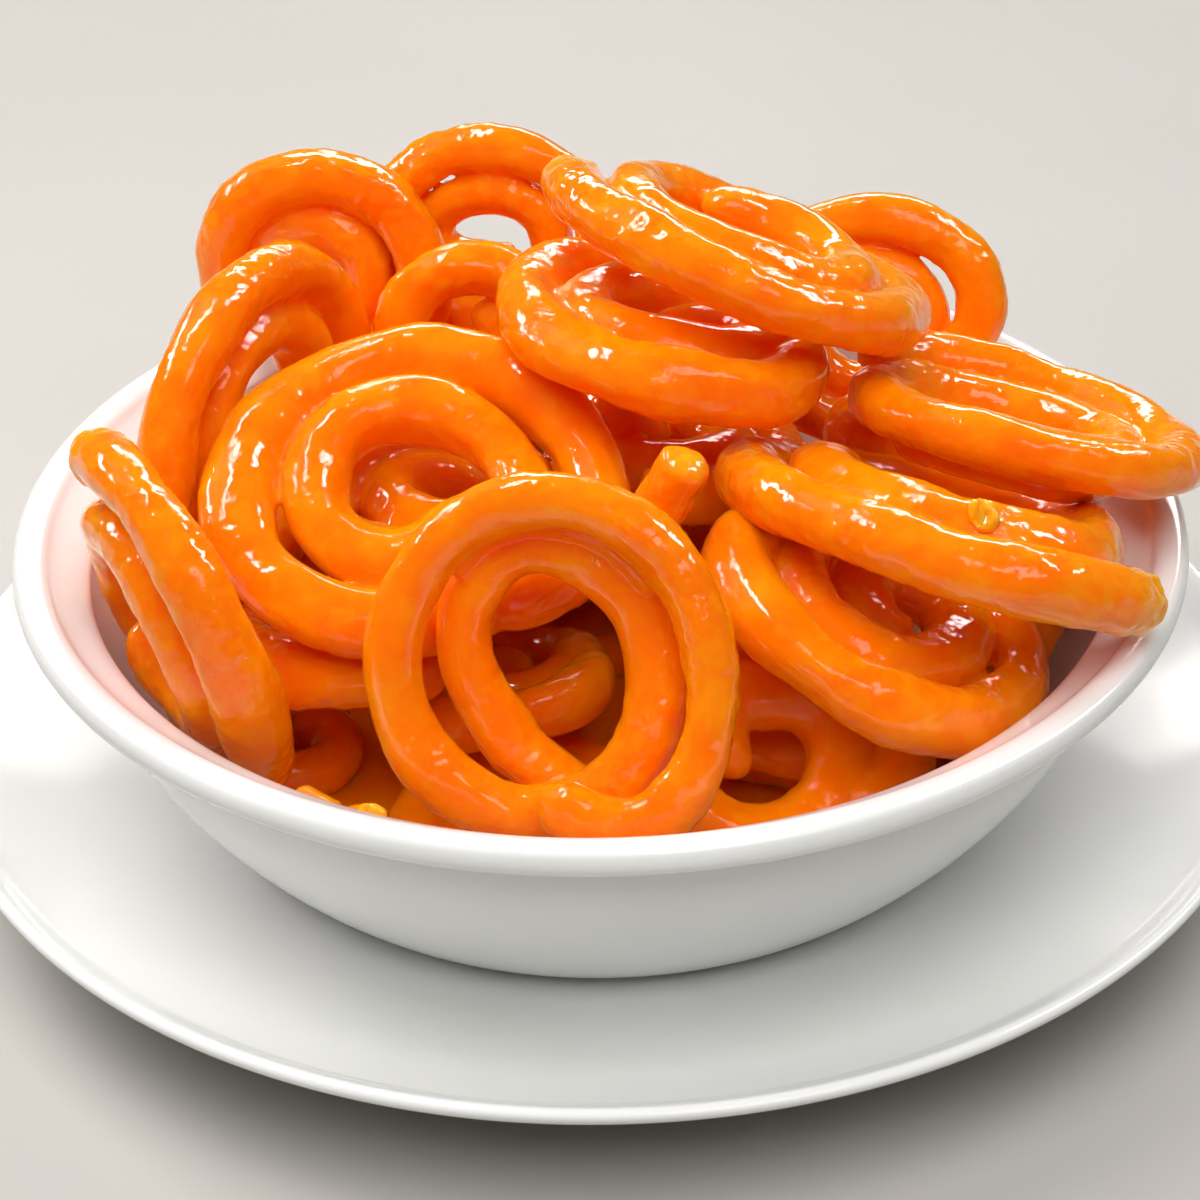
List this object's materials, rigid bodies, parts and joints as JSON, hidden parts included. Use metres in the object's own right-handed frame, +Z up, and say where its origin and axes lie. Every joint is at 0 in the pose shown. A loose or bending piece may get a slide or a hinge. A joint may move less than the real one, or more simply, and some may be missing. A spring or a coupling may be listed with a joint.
{
  "type": "bowl of jalebi",
  "caption": "Syrup-soaked jalebi spirals heaped in a round porcelain bowl that stands on a matching shallow plate.",
  "frame": {"origin": "centre of the plate's foot, on the surface it stands on", "axes": "+Z up, +X to the right and -Y towards a viewer of the heap's front"},
  "size_m": [0.1864, 0.1864, 0.0934],
  "materials": {
    "porcelain": "glossy white glaze",
    "jalebi": "wet syrup over translucent orange fried batter"
  },
  "bodies": {
    "root": {"plate": "porcelain", "bowl": "porcelain", "jalebi_front": "jalebi", "jalebi_left_spiral": "jalebi", "jalebi_crown": "jalebi", "jalebi_ridge": "jalebi", "jalebi_back_ring": "jalebi", "jalebi_back_left": "jalebi", "jalebi_left_arch": "jalebi", "jalebi_left_leaner": "jalebi", "jalebi_right_upper": "jalebi", "jalebi_back_right": "jalebi", "jalebi_right_middle": "jalebi", "jalebi_right_lower": "jalebi", "jalebi_right_deep": "jalebi", "jalebi_middle": "jalebi", "jalebi_behind_crown": "jalebi", "jalebi_left_deep": "jalebi", "jalebi_floor_back": "jalebi", "jalebi_floor_right": "jalebi", "jalebi_floor_front": "jalebi", "jalebi_low_middle": "jalebi", "jalebi_low_right": "jalebi", "jalebi_low_back": "jalebi", "jalebi_low_front": "jalebi", "jalebi_heart": "jalebi", "jalebi_inner_right": "jalebi", "jalebi_inner_left": "jalebi", "jalebi_inner_back": "jalebi", "jalebi_back_low_left": "jalebi", "jalebi_back_low_right": "jalebi", "jalebi_right_back": "jalebi", "jalebi_right_wall": "jalebi", "jalebi_left_wall": "jalebi", "jalebi_left_front": "jalebi", "jalebi_broken_end": "jalebi"}
  },
  "joints": []
}
